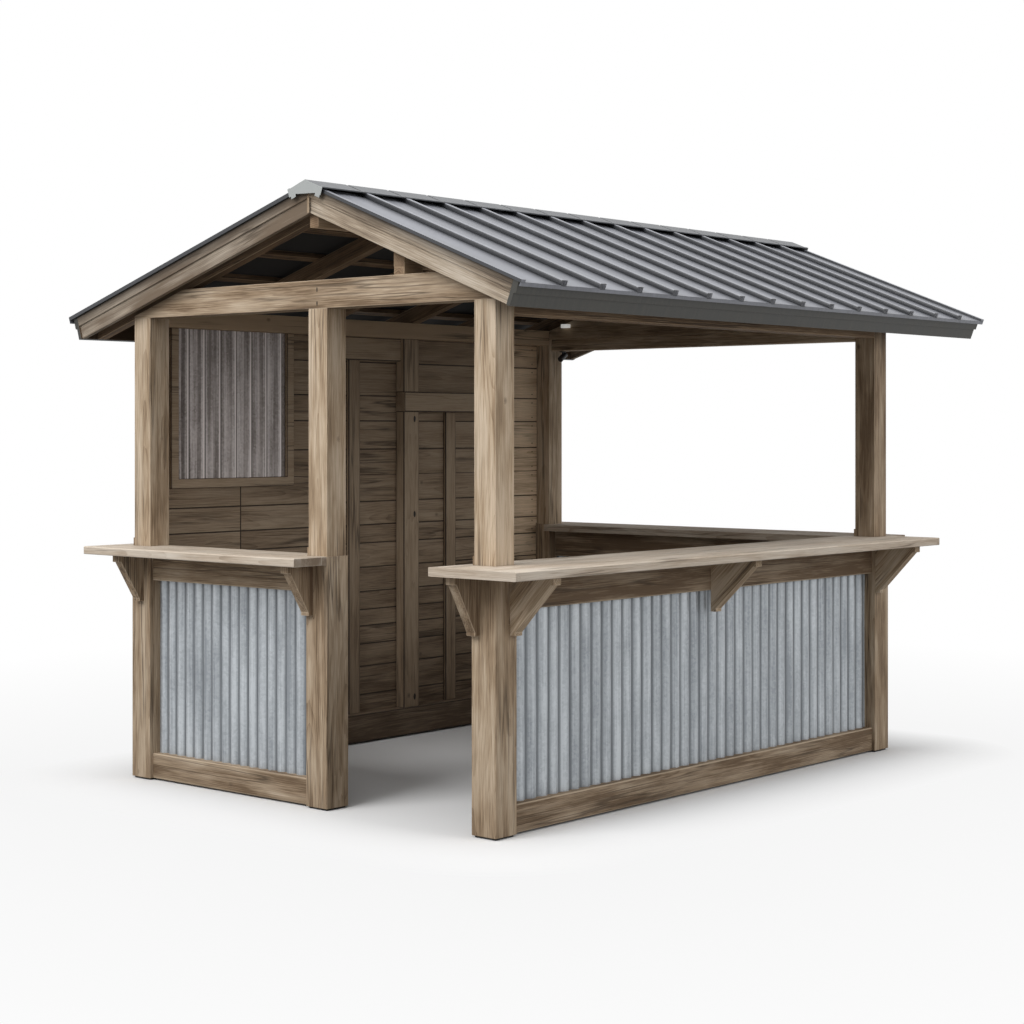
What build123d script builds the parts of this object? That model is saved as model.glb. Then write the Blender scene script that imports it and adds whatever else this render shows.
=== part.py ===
"""Garden bar: five cased posts, three serving counters, one boarded wall and a standing-seam gable roof.

Millimetres, +Z up, ground at Z = 0, ridge along Y. The door gable faces -Y, the long serving side +X and the
boarded wall -X. The origin is on the ground, under the middle of the whole building's outline.
"""
import os
from math import atan2, cos, pi, sin, tan

from build123d import *

# Overall frame, measured over the casing boards of the corner posts
frame_width = 2230
frame_length = 2990
head_height = 2115
counter_height = 1070
door_width = 814

# Posts, their casing boards and their feet
post_size = 112
casing_board = 8
casing_above_counter = 36
foot_height = 8
foot_inset = 10
edge_ease = 3

# Roof lines: the underside of the rafters crosses the casing faces a little above the post heads, and the
# ridge stands off the middle of the frame towards the serving side, so that side is the steeper one
roof_rise = 388
ridge_offset = 125
eave_line_rise = 9
eave_out_serving = 105
eave_out_wall = 300
gable_out_front = 60
gable_out_back = 630

# Roof timbers
tie_beam_height = 120
lintel_height = 68
lintel_thickness = 70
wall_plate_drop = 36
serving_plate_drop = 55
ridge_beam_width = 50
ridge_beam_drop = 60
purlin_width = 60
purlin_height = 55
purlin_strut_height = 30
rafter_width = 50
rafter_depth = 80
rafter_pairs = 6
batten_width = 45
batten_depth = 25
battens_per_side = 6
batten_ridge_offset = 20

# Bargeboards and eave fascias
barge_board = 24
barge_strip = 32
barge_strip_depth = 43
fascia_lower = 18
fascia_upper = 28
fascia_lower_depth = 55

# Standing-seam sheets and ridge cap
pan_width = 251
sheet_thickness = 1.6
seam_height = 21
seam_width = 26
rake_fold_height = 12
sheet_eave_drip = 20
sheet_gable_drip = 10
ridge_slot = 8
cap_half_width = 105
cap_thickness = 3
cap_hem_width = 12
cap_hem_height = 3
cap_gable_over = 12
cap_tongue_from = 30
cap_tongue_width = 30
cap_tongue_depth = 12
cap_end_depth = 32

# Counters, aprons, rails and brackets
counter_thickness = 36
counter_clearance = 0.5
long_counter_out = 270
long_counter_inside = 50
long_counter_front_out = 195
long_counter_back_out = 30
front_counter_out = 190
front_counter_end_out = 112
back_counter_out = 165
rail_height = 114
rail_thickness = 60
rail_setback = 18
apron_height = 145
front_apron_height = 120
bracket_thickness = 45
bracket_height = 240
front_bracket_height = 216
bracket_setback = 45
bracket_nose_height = 32
bracket_nose_step = 14
bracket_heel = 28
bracket_heel_height = 14

# Corrugated cladding
panel_setback = 50
front_wave_pitch = 60
long_wave_pitch = 70
wave_depth = 16
wave_crest_share = 0.62
crest_facets = 6
valley_facets = 4
cladding_thickness = 1.5

# Boarded wall and its inner framing, placed from the front casing face
board_thickness = 22
sole_plate_height = 140
sole_plate_thickness = 70
stud_front = 1716
stud_width = 116
stud_depth = 60
lining_batten_fronts = (1352, 2082)
lining_batten_width = 82
lining_batten_depth = 20
header_front = 1255
header_height = 118
low_header_drop = 277
low_header_height = 104
low_header_back = 2400
header_depth = 38
low_header_depth = 68

# Shutter sheet in the boarded wall
hatch_front = 237
hatch_back = 927
hatch_height = 707
hatch_trim_width = 45
hatch_trim_depth = 20
hatch_ribs = 7
hatch_rib_depth = 14
hatch_rib_share = 0.42
hatch_rib_top_share = 0.24

# Light fittings at the back tie beam
puck_from_post = 132
puck_above_head = 69
puck_radius = 27
puck_depth = 20
puck_base = 16
spot_from_post = 52
spot_base_radius = 18
spot_base_height = 6
spot_stem_radius = 5
spot_stem_height = 18
spot_can_radius = 16
spot_can_length = 56
spot_tilt = 35

# Way out from the ridge on the boarded and the serving side, and from the middle at each gable
side_way = {"left": -1, "right": 1}
gable_way = {"front": -1, "back": 1}

# Runs and slopes of the two roof sides, and the levels that follow from them
half_width = frame_width / 2
half_length = frame_length / 2
ridge_run = {side: half_width - way * ridge_offset for side, way in side_way.items()}
pitch = {side: atan2(roof_rise, run) for side, run in ridge_run.items()}
slope_cos = {side: cos(angle) for side, angle in pitch.items()}
slope_sin = {side: sin(angle) for side, angle in pitch.items()}
slope_tan = {side: tan(angle) for side, angle in pitch.items()}
apex_height = head_height + eave_line_rise + roof_rise
deck = rafter_depth + batten_depth
seam_top = deck + seam_height
cap_top = seam_top + cap_thickness
eave_out = {"left": eave_out_wall, "right": eave_out_serving}
slope_length = {side: (ridge_run[side] + out) / slope_cos[side] for side, out in eave_out.items()}
sheet_end = {side: length + fascia_upper + sheet_eave_drip for side, length in slope_length.items()}
casing_size = post_size + 2 * casing_board
counter_under = counter_height - counter_thickness
casing_top = counter_height + casing_above_counter
apron_low = {
    "front": counter_under - front_apron_height,
    "long": counter_under - apron_height,
    "back": counter_under - apron_height,
}
rail_top = foot_height + rail_height
plate_low = head_height - wall_plate_drop
plate_under = {"left": plate_low, "right": head_height - serving_plate_drop}
lintel_under = head_height - lintel_height
hatch_sill = plate_low - hatch_height

# The outline's reach from the ridge line and from mid length, which centres the origin
roof_reach = {side: end * slope_cos[side] + seam_top * slope_sin[side] for side, end in sheet_end.items()}
reach_serving = max(roof_reach["right"], ridge_run["right"] + long_counter_out)
reach_wall = max(roof_reach["left"], ridge_run["left"] + front_counter_end_out)
roof_front_out = gable_out_front + sheet_gable_drip + cap_gable_over
roof_back_out = gable_out_back + sheet_gable_drip + cap_gable_over
reach_front = half_length + max(roof_front_out, front_counter_out, long_counter_front_out)
reach_back = half_length + max(roof_back_out, back_counter_out)
ridge_x = (reach_wall - reach_serving) / 2
mid_y = (reach_front - reach_back) / 2

# Casing faces of the post frame
x_serving = ridge_x + ridge_run["right"]
x_wall = ridge_x - ridge_run["left"]
y_front = mid_y - half_length
y_back = mid_y + half_length
x_door = x_serving - casing_size - door_width
post_corners = {
    "post_front_left": (x_wall, y_front),
    "post_door": (x_door - casing_size, y_front),
    "post_front_right": (x_serving - casing_size, y_front),
    "post_back_right": (x_serving - casing_size, y_back - casing_size),
    "post_back_left": (x_wall, y_back - casing_size),
}
long_counter_inner = x_serving - casing_size - long_counter_inside
boarding_inner = x_wall + casing_board + board_thickness


def span(start, size):
    """Limits of a piece from its start and its size."""
    return (start, start + size)


def slab(x, y, z):
    """Square-cut solid between two limits on each axis."""
    size = [high - low for low, high in (x, y, z)]
    return Pos(x[0], y[0], z[0]) * Box(*size, align=(Align.MIN, Align.MIN, Align.MIN))


def timber(x, y, z, grain):
    """Planed timber between two limits on each axis, with the edges along its grain eased."""
    piece = slab(x, y, z)
    return chamfer(piece.edges().filter_by(grain), edge_ease)


def prism_x(outline, x):
    """Prism with an outline of (y, z) points, between two limits of X."""
    face = Plane.YZ.offset(x[0]) * make_face(Polyline(*outline, close=True))
    return extrude(face, amount=x[1] - x[0])


def prism_y(outline, y):
    """Prism with an outline of (x, z) points, between two limits of Y."""
    face = Plane.XZ.offset(-y[0]) * make_face(Polyline(*outline, close=True))
    return extrude(face, amount=y[0] - y[1])


def on_slope(side, down, lift):
    """Point (x, z) at a distance down a slope from the apex, lifted square to it."""
    x = ridge_x + side_way[side] * (down * slope_cos[side] + lift * slope_sin[side])
    return (x, apex_height - down * slope_sin[side] + lift * slope_cos[side])


def under_roof(side, out, lift=0):
    """Point (x, z) on the slope's underside line, or lifted square to it, at a level run from the ridge."""
    level = apex_height - out * slope_tan[side] + lift / slope_cos[side]
    return (ridge_x + side_way[side] * out, level)


def ridge_point(lift):
    """Point (x, z) over the ridge line that clears both slopes lifted square."""
    return max((under_roof(side, 0, lift) for side in side_way), key=lambda point: point[1])


def below(point, level):
    """Point (x, z) at a level, under or over another."""
    return (point[0], level)


def save(name, *solids):
    """Write one named piece, or a set of like pieces that stand apart."""
    shape = solids[0] if len(solids) == 1 else Compound(children=list(solids))
    export_step(shape, f"parts/{name}.step")


# Posts, casings and feet

def build_posts():
    casings = []
    feet = []
    for name, (x, y) in post_corners.items():
        core_x = span(x + casing_board, post_size)
        core_y = span(y + casing_board, post_size)
        save(name, slab(core_x, core_y, (foot_height, head_height)))
        sleeve = timber(span(x, casing_size), span(y, casing_size), (foot_height, counter_height), Axis.Z)
        sleeve -= slab(core_x, core_y, (foot_height, counter_height))
        casings.append(sleeve + slab(span(x, casing_board), core_y, (counter_height, casing_top)))
        pad = casing_size - 2 * foot_inset
        feet.append(slab(span(x + foot_inset, pad), span(y + foot_inset, pad), (0, foot_height)))
    save("post_casings", *casings)
    save("post_feet", *feet)


# Low walls: bottom rail, apron and corrugated sheet in each bay

front_bay = (x_wall + casing_size, x_door - casing_size)
long_bay = (y_front + casing_size, y_back - casing_size)
back_bay = (x_wall + casing_size, x_serving - casing_size)
front_rail_y = span(y_front + rail_setback, rail_thickness)
long_rail_x = span(x_serving - rail_setback - rail_thickness, rail_thickness)
back_rail_y = span(y_back - rail_setback - rail_thickness, rail_thickness)


def build_rails():
    places = {
        "front": (front_bay, front_rail_y, Axis.X),
        "long": (long_rail_x, long_bay, Axis.Y),
        "back": (back_bay, back_rail_y, Axis.X),
    }
    for bay, (x, y, axis) in places.items():
        save(f"{bay}_bottom_rail", timber(x, y, (foot_height, rail_top), axis))
        save(f"{bay}_apron", timber(x, y, (apron_low[bay], counter_under), axis))


def wave_line(bay, wave_pitch, base):
    """Points of a corrugated line across a bay: broad crests that run smoothly into narrow valleys."""
    waves = round((bay[1] - bay[0]) / wave_pitch)
    pitch = (bay[1] - bay[0]) / waves
    middle = base + wave_depth * (1 - wave_crest_share)
    halves = ((wave_crest_share, crest_facets, 1), (1 - wave_crest_share, valley_facets, -1))
    points = []
    start = bay[0]
    for _ in range(waves):
        for share, facets, way in halves:
            for facet in range(facets):
                part = facet / facets
                rise = way * wave_depth * share * sin(pi * part)
                points.append((start + pitch * share * part, middle + rise))
            start += pitch * share
    points.append((bay[1], middle))
    return points


def corrugated(plane, bay, wave_pitch, top):
    """Corrugated sheet standing from the bottom rail to its top, its crests on the plane's Y side."""
    near = wave_line(bay, wave_pitch, 0)
    far = wave_line(bay, wave_pitch, cladding_thickness)
    section = plane * make_face(Polyline(*near, *reversed(far), close=True))
    return extrude(section, amount=top - rail_top)


def build_cladding():
    depth = panel_setback + wave_depth + cladding_thickness
    low = rail_top
    front = Plane((0, y_front + depth, low), x_dir=(-1, 0, 0), z_dir=(0, 0, 1))
    back = Plane((0, y_back - depth, low), x_dir=(1, 0, 0), z_dir=(0, 0, 1))
    side = Plane((x_serving - depth, 0, low), x_dir=(0, -1, 0), z_dir=(0, 0, 1))
    front_span = (-front_bay[1], -front_bay[0])
    long_span = (-long_bay[1], -long_bay[0])
    save("front_cladding", corrugated(front, front_span, front_wave_pitch, apron_low["front"]))
    save("long_cladding", corrugated(side, long_span, long_wave_pitch, apron_low["long"]))
    save("back_cladding", corrugated(back, back_bay, long_wave_pitch, apron_low["back"]))


# Counters with the posts let through, and the brackets under them

def post_cut(name):
    """Space that a counter leaves round a cased post."""
    x, y = post_corners[name]
    room = casing_size + 2 * counter_clearance
    level = (counter_under - counter_clearance, counter_height + counter_clearance)
    return slab(span(x - counter_clearance, room), span(y - counter_clearance, room), level)


def build_counters():
    z = (counter_under, counter_height)
    front_y = (y_front - front_counter_out, y_front + casing_size)
    front = timber((x_wall - front_counter_end_out, x_door), front_y, z, Axis.X)
    save("front_counter", front - post_cut("post_front_left") - post_cut("post_door"))

    long_y = (y_front - long_counter_front_out, y_back + long_counter_back_out)
    long_top = timber((long_counter_inner, x_serving + long_counter_out), long_y, z, Axis.Y)
    save("long_counter", long_top - post_cut("post_front_right") - post_cut("post_back_right"))

    inner_y = y_back - casing_size - long_counter_inside
    outer_y = y_back + back_counter_out
    left_x = x_wall - front_counter_end_out
    outline = [
        (left_x, y_back - casing_size), (x_wall + casing_size, y_back - casing_size),
        (x_wall + casing_size, inner_y), (long_counter_inner, inner_y),
        (long_counter_inner, long_y[1]), (x_serving, long_y[1]), (x_serving, outer_y), (left_x, outer_y),
    ]
    face = Plane.XY.offset(counter_under) * make_face(Polyline(*outline, close=True))
    back = extrude(face, amount=counter_thickness)
    save("back_counter", back - post_cut("post_back_left"))


def bracket_outline(face, way, overhang, height):
    """Side outline of a bracket that reaches out from a face under a counter's overhang."""
    reach = overhang - bracket_setback
    low = counter_under - height
    nose_low = counter_under - bracket_nose_height
    points = [
        (0, counter_under), (reach, counter_under), (reach, nose_low), (reach - bracket_nose_step, nose_low),
        (bracket_heel, low + bracket_heel_height), (bracket_heel, low), (0, low),
    ]
    return [(face + way * out, z) for out, z in points]


def build_brackets():
    front_x = [
        x_wall + (casing_size - bracket_thickness) / 2,
        x_door - casing_size,
        x_serving - casing_size,
    ]
    outs = (front_counter_out, front_counter_out, long_counter_front_out)
    heights = (front_bracket_height, front_bracket_height, bracket_height)
    front = [
        prism_x(bracket_outline(y_front, gable_way["front"], out, height), span(x, bracket_thickness))
        for x, out, height in zip(front_x, outs, heights)
    ]
    save("front_brackets", *front)

    post_y = [y_front + casing_size - bracket_thickness, y_back - casing_size]
    at_post = bracket_outline(x_serving, side_way["right"], long_counter_out, bracket_height)
    long = [prism_y(at_post, span(y, bracket_thickness)) for y in post_y]
    apron_out = long_counter_out + rail_setback
    middle_y = mid_y - bracket_thickness / 2
    at_apron = bracket_outline(x_serving - rail_setback, side_way["right"], apron_out, bracket_height)
    long.append(prism_y(at_apron, span(middle_y, bracket_thickness)))
    save("long_brackets", *long)

    back_x = [x_wall + (casing_size - bracket_thickness) / 2, x_serving - casing_size]
    at_back = bracket_outline(y_back, gable_way["back"], back_counter_out, bracket_height)
    back = [prism_x(at_back, span(x, bracket_thickness)) for x in back_x]
    save("back_brackets", *back)


# Boarded wall with its framing and the shutter sheet

wall_y = (y_front + casing_size, y_back - casing_size)
wall_upper_y = (y_front + casing_board + post_size, y_back - casing_board - post_size)
hatch_y = (y_front + hatch_front, y_front + hatch_back)


def build_wall():
    outline = [
        (wall_y[0], foot_height), (wall_y[1], foot_height), (wall_y[1], counter_height),
        (wall_upper_y[1], counter_height), (wall_upper_y[1], plate_low), (hatch_y[1], plate_low),
        (hatch_y[1], hatch_sill), (hatch_y[0], hatch_sill), (hatch_y[0], plate_low),
        (wall_upper_y[0], plate_low), (wall_upper_y[0], counter_height), (wall_y[0], counter_height),
    ]
    save("wall_boarding", prism_x(outline, (x_wall + casing_board, boarding_inner)))

    plate_x = (boarding_inner, boarding_inner + sole_plate_thickness)
    sole_top = foot_height + sole_plate_height
    save("wall_sole_plate", timber(plate_x, wall_y, (foot_height, sole_top), Axis.Y))

    stud_y = span(y_front + stud_front, stud_width)
    stud_x = span(boarding_inner, stud_depth)
    low_header_top = plate_low - low_header_drop
    low_header_low = low_header_top - low_header_height
    lower_stud = timber(stud_x, stud_y, (sole_top, low_header_low), Axis.Z)
    upper_stud = timber(stud_x, stud_y, (low_header_top, plate_low), Axis.Z)
    save("wall_stud", lower_stud, upper_stud)

    header_low = plate_low - header_height
    high_y = (y_front + header_front, stud_y[0])
    high = timber(span(boarding_inner, header_depth), high_y, (header_low, plate_low), Axis.Y)
    low_y = (stud_y[0], y_front + low_header_back)
    low = timber(span(boarding_inner, low_header_depth), low_y, (low_header_low, low_header_top), Axis.Y)
    save("wall_headers", high, low)

    batten_x = span(boarding_inner, lining_batten_depth)
    battens = [
        timber(batten_x, span(y_front + front, lining_batten_width), (sole_top, top), Axis.Z)
        for front, top in zip(lining_batten_fronts, (header_low, low_header_low))
    ]
    save("wall_battens", *battens)


def build_hatch():
    pitch = (hatch_y[1] - hatch_y[0]) / hatch_ribs
    inner = boarding_inner + hatch_rib_depth
    outer = boarding_inner
    rib = [
        (-hatch_rib_share / 2, outer), (-hatch_rib_top_share / 2, inner),
        (hatch_rib_top_share / 2, inner), (hatch_rib_share / 2, outer),
    ]
    near = [(hatch_y[0], outer)]
    for index in range(hatch_ribs):
        middle = hatch_y[0] + (index + 1 / 2) * pitch
        near += [(middle + share * pitch, x) for share, x in rib]
    near.append((hatch_y[1], outer))
    far = [(y, x + cladding_thickness) for y, x in reversed(near)]
    outline = [(x, y) for y, x in near + far]
    face = Plane.XY.offset(hatch_sill) * make_face(Polyline(*outline, close=True))
    save("hatch_sheet", extrude(face, amount=plate_low - hatch_sill))

    trim = hatch_trim_width
    frame = [
        (hatch_y[0] - trim, plate_low), (hatch_y[0] - trim, hatch_sill - trim),
        (hatch_y[1] + trim, hatch_sill - trim), (hatch_y[1] + trim, plate_low), (hatch_y[1], plate_low),
        (hatch_y[1], hatch_sill), (hatch_y[0], hatch_sill), (hatch_y[0], plate_low),
    ]
    save("hatch_trim", prism_x(frame, span(boarding_inner, hatch_trim_depth)))


# Roof timbers

tie_y = {
    "front": span(y_front + casing_board, post_size),
    "back": span(y_back - casing_board - post_size, post_size),
}
barge_inner = {
    "front": y_front - gable_out_front + barge_strip,
    "back": y_back + gable_out_back - barge_strip,
}


def build_beams():
    tie_top = head_height + tie_beam_height
    top_out = {side: (apex_height - tie_top) / slope_tan[side] for side in side_way}
    end_out = {side: run - casing_board for side, run in ridge_run.items()}
    ends = {side: under_roof(side, end_out[side]) for side in side_way}
    tie = [below(ends["left"], head_height), below(ends["right"], head_height), ends["right"]]
    tie += [under_roof("right", top_out["right"]), under_roof("left", top_out["left"]), ends["left"]]
    for name, y in tie_y.items():
        save(f"{name}_tie_beam", prism_y(tie, y))

    plate_y = (tie_y["front"][1], tie_y["back"][0])
    for side, outer in ends.items():
        inner = under_roof(side, end_out[side] - post_size)
        plate = [below(inner, plate_under[side]), below(outer, plate_under[side]), outer, inner]
        save(f"{side}_top_plate", prism_y(plate, plate_y))

    lintel_y = span(tie_y["back"][0] + (post_size - lintel_thickness) / 2, lintel_thickness)
    lintel_x = (x_wall + casing_board + post_size, x_serving - casing_board - post_size)
    save("back_lintel", timber(lintel_x, lintel_y, (lintel_under, head_height), Axis.X))

    ridge_half = ridge_beam_width / 2
    ridge_top = min(under_roof(side, ridge_half, rafter_depth)[1] for side in side_way)
    ridge = timber(
        span(ridge_x - ridge_half, ridge_beam_width), (barge_inner["front"], barge_inner["back"]),
        (apex_height - ridge_beam_drop, ridge_top), Axis.Y)
    save("ridge_beam", ridge)

    purlin_low = tie_top + purlin_strut_height
    purlin_out = (apex_height - purlin_low - purlin_height) / slope_tan["right"]
    inner = under_roof("right", purlin_out - purlin_width)
    outer = under_roof("right", purlin_out)
    purlin = [below(inner, purlin_low), below(outer, purlin_low), outer, inner]
    save("purlin", prism_y(purlin, (tie_y["front"][0], barge_inner["back"])))
    strut_x = (inner[0], outer[0])
    save("purlin_struts", *[timber(strut_x, y, (tie_top, purlin_low), Axis.Z) for y in tie_y.values()])


def build_rafters():
    first = tie_y["front"][0] + (post_size - rafter_width) / 2
    last = tie_y["back"][0] + (post_size - rafter_width) / 2
    step = (last - first) / (rafter_pairs - 1)
    ridge_half = ridge_beam_width / 2
    batten_y = (barge_inner["front"], barge_inner["back"])
    for side, end in slope_length.items():
        rafter = [
            under_roof(side, ridge_half), under_roof(side, ridge_half, rafter_depth),
            on_slope(side, end, rafter_depth), on_slope(side, end, 0),
        ]
        rafters = [prism_y(rafter, span(first + index * step, rafter_width)) for index in range(rafter_pairs)]
        save(f"{side}_rafters", *rafters)

        run = (end - batten_width - batten_ridge_offset) / (battens_per_side - 1)
        battens = []
        for index in range(battens_per_side):
            down = batten_ridge_offset + index * run
            batten = [
                on_slope(side, down, rafter_depth), on_slope(side, down + batten_width, rafter_depth),
                on_slope(side, down + batten_width, deck), on_slope(side, down, deck),
            ]
            battens.append(prism_y(batten, batten_y))
        save(f"{side}_roof_battens", *battens)


# Roof edges and covering

def build_edges():
    line = deck - barge_strip_depth
    for side, end in slope_length.items():
        board = [
            under_roof(side, 0), under_roof(side, 0, line),
            on_slope(side, end, line), on_slope(side, end, 0),
        ]
        strip = [
            under_roof(side, 0, line), under_roof(side, 0, deck),
            on_slope(side, end, deck), on_slope(side, end, line),
        ]
        for gable, way in gable_way.items():
            inner = barge_inner[gable]
            board_y = sorted((inner, inner + way * barge_board))
            strip_y = sorted((inner, inner + way * barge_strip))
            save(f"{gable}_{side}_barge", prism_y(board, board_y) + prism_y(strip, strip_y))

        fascia = [
            on_slope(side, end, 0), on_slope(side, end + fascia_lower, 0),
            on_slope(side, end + fascia_lower, fascia_lower_depth),
            on_slope(side, end + fascia_upper, fascia_lower_depth),
            on_slope(side, end + fascia_upper, deck), on_slope(side, end, deck),
        ]
        fascia_y = (barge_inner["front"] - barge_strip, barge_inner["back"] + barge_strip)
        save(f"{side}_fascia", prism_y(fascia, fascia_y))


sheet_y = (y_front - gable_out_front - sheet_gable_drip, y_back + gable_out_back + sheet_gable_drip)


def seam_outline():
    """Section of a sheet across its pans: flat trays between upstanding seams, low folds at the rakes."""
    pans = round((sheet_y[1] - sheet_y[0]) / pan_width)
    step = (sheet_y[1] - sheet_y[0] - seam_width) / pans
    half = seam_width / 2
    inner = half - sheet_thickness
    top = []
    bottom = []
    for index in range(pans + 1):
        y = sheet_y[0] + half + index * step
        height = rake_fold_height if index in (0, pans) else seam_height
        under = height - sheet_thickness
        top += [(y - half, sheet_thickness), (y - half, height)]
        top += [(y + half, height), (y + half, sheet_thickness)]
        bottom += [(y - inner, 0), (y - inner, under), (y + inner, under), (y + inner, 0)]
    top[0] = (top[0][0], 0)
    top[-1] = (top[-1][0], 0)
    return top + bottom[::-1]


def build_covering():
    for side, way in side_way.items():
        start = (ridge_slot - deck * slope_sin[side]) / slope_cos[side]
        x, z = on_slope(side, start, deck)
        down = (way * slope_cos[side], 0, -slope_sin[side])
        section = Plane((x, 0, z), x_dir=(0, way, 0), z_dir=down)
        outline = [(way * y, lift) for y, lift in seam_outline()]
        face = section * make_face(Polyline(*outline, close=True))
        save(f"{side}_roof_sheet", extrude(face, amount=sheet_end[side] - start))


def build_ridge_cap():
    low = seam_top - cap_end_depth
    tongue = low - cap_tongue_depth
    tongue_end = cap_tongue_from + cap_tongue_width
    hem_top = cap_top + cap_hem_height
    upper = {}
    lower = {}
    for side in side_way:
        edge = (cap_half_width - seam_top * slope_sin[side]) / slope_cos[side]
        hem = edge - cap_hem_width
        half = [(edge, seam_top), (edge, hem_top), (hem, hem_top), (hem, cap_top)]
        upper[side] = [on_slope(side, down, lift) for down, lift in half]
        half = [(edge, seam_top), (edge, low), (tongue_end, low)]
        half += [(tongue_end, tongue), (cap_tongue_from, tongue), (cap_tongue_from, low)]
        lower[side] = [on_slope(side, down, lift) for down, lift in half]

    cap_y = (sheet_y[0] - cap_gable_over, sheet_y[1] + cap_gable_over)
    peak = ridge_point(seam_top)
    cap = prism_y(upper["right"] + [ridge_point(cap_top)] + upper["left"][::-1] + [peak], cap_y)
    plate = lower["right"] + lower["left"][::-1] + [peak]
    ends = (span(cap_y[0], cap_thickness), span(cap_y[1] - cap_thickness, cap_thickness))
    for y in ends:
        cap += prism_y(plate, y)
    save("ridge_cap", cap)


# Light fittings

def build_lights():
    post_inner = x_wall + casing_board + post_size
    puck_x = post_inner + puck_from_post
    puck_height = head_height + puck_above_head
    wall = tie_y["back"][0]
    disc = Pos(puck_x, wall - puck_base, puck_height) * Cylinder(puck_radius, puck_depth)
    base = slab(
        span(puck_x - puck_base / 2, puck_base), (wall - puck_base, wall),
        span(puck_height - puck_base / 2, puck_base))
    room = slab(
        span(puck_x - puck_radius, 2 * puck_radius), span(wall, puck_radius),
        span(puck_height - puck_depth, 2 * puck_depth))
    save("puck_light", disc + base - room)

    spot_x = post_inner + spot_from_post
    spot_y = wall + post_size / 2
    top = (Align.CENTER, Align.CENTER, Align.MAX)
    beam_under = Pos(spot_x, spot_y, lintel_under)
    plate = beam_under * Cylinder(spot_base_radius, spot_base_height, align=top)
    stem = beam_under * Cylinder(spot_stem_radius, spot_stem_height + spot_base_height, align=top)
    centre = lintel_under - spot_base_height - spot_stem_height - spot_can_radius
    can = Pos(spot_x, spot_y, centre + spot_can_radius / 2) * Rot(90 + spot_tilt, 0, 0) * Cylinder(
        spot_can_radius, spot_can_length)
    save("spotlight", plate + stem + can)


def main():
    os.makedirs("parts", exist_ok=True)
    build_posts()
    build_rails()
    build_cladding()
    build_counters()
    build_brackets()
    build_wall()
    build_hatch()
    build_beams()
    build_rafters()
    build_edges()
    build_covering()
    build_ridge_cap()
    build_lights()


main()
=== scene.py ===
"""Looks of the garden bar: grained timber, galvanised cladding, a standing-seam roof and a pale studio."""
import random
from math import pi, radians

import bmesh
import bpy
from mathutils import Matrix, Vector


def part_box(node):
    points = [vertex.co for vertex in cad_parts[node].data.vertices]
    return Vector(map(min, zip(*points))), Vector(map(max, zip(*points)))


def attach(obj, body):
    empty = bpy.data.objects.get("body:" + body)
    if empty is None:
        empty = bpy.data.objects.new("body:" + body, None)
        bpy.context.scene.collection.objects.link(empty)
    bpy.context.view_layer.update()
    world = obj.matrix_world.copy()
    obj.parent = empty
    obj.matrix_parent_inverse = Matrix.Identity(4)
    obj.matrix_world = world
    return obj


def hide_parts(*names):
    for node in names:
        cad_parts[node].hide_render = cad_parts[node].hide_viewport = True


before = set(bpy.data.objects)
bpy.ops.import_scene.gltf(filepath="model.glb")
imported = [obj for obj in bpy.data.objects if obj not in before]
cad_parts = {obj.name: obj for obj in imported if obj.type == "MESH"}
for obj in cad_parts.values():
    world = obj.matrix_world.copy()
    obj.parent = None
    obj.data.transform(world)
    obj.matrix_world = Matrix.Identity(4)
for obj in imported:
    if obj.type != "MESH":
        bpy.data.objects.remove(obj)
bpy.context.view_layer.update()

# Camera, as the photograph was taken: level, with the frame shifted down
camera_place = (6.343, -7.630, 1.602)
camera_yaw = 40.74
camera_lens = 70.9
camera_sensor = 36
camera_shift = -0.0801

# Studio
floor_pale = 0.76
floor_bounce = 0.24
floor_half_width = 1.12
floor_half_length = 1.50
floor_middle = (0.06, -0.23)
floor_fade_from = 0.02
floor_fade_to = 0.62
floor_near = 0.92
floor_far = 4.5
floor_reach = 60
world_light = 0.62
lamp_aim = (0, 0, 1.2)
softboxes = {
    "key_softbox": {"place": (-0.5, -9.0, 7.5), "size": 6.0, "power": 720},
    "top_softbox": {"place": (1.0, -1.0, 9.0), "size": 7.0, "power": 380},
    "side_fill": {"place": (9.0, 1.0, 4.0), "size": 5.0, "power": 160},
}

# Meshes, with angles in degrees
weld = 1e-5
saw_width = 1e-6
flush = 1e-4
flat_angle = 1
arris_angle = 30
fold_angle = 20
smooth_angle = 32
head_angle = 60
facing_share = 0.7

# Timber, with the tone of each piece, about 0 for dark and 1 for pale
arris = 0.0022
board_arris = 0.0035
# Depth of the painted shade and dirt along each bargeboard's top
shade_and_dirt_band = 0.050
# Some tones stand in for light: the high tones of the hatch trim, the long side's brackets and the left top
# plate are painted light on pieces that sit in shade, and the back counter's lower tone is painted shade
tones = {
    "post_front_left": 0.46, "post_door": 0.66, "post_front_right": 0.72, "post_back_right": 0.16,
    "post_back_left": 0.75, "post_casings": 0.42, "front_bottom_rail": 0.15, "long_bottom_rail": 0.14,
    "front_apron": 0.36, "long_apron": 0.06, "back_apron": 0.00, "front_tie_beam": 0.35,
    "front_brackets": 0.34, "long_brackets": 0.62, "front_left_barge": -0.20, "front_right_barge": 0.42,
    "back_left_barge": 0.20, "back_right_barge": 0.28, "wall_boarding": 0.62, "wall_stud": 0.92,
    "wall_headers": 0.95, "wall_battens": 0.70, "wall_sole_plate": 0.50, "hatch_trim": 0.90,
    "left_top_plate": 1.40, "right_top_plate": 0.50, "purlin": 1.15, "purlin_struts": 1.10,
    "ridge_beam": 1.10, "left_rafters": 0.36, "right_rafters": 0.36, "left_roof_battens": 0.28,
    "right_roof_battens": 0.28, "front_counter": 0.60, "long_counter": 0.62, "back_counter": 0.34,
}
plain_tone = 0.40
tone_spread = 0.07
ring_width = 0.0075
heart_offset = 0.09
heart_sway = 0.10
heart_drift = 0.03
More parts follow.
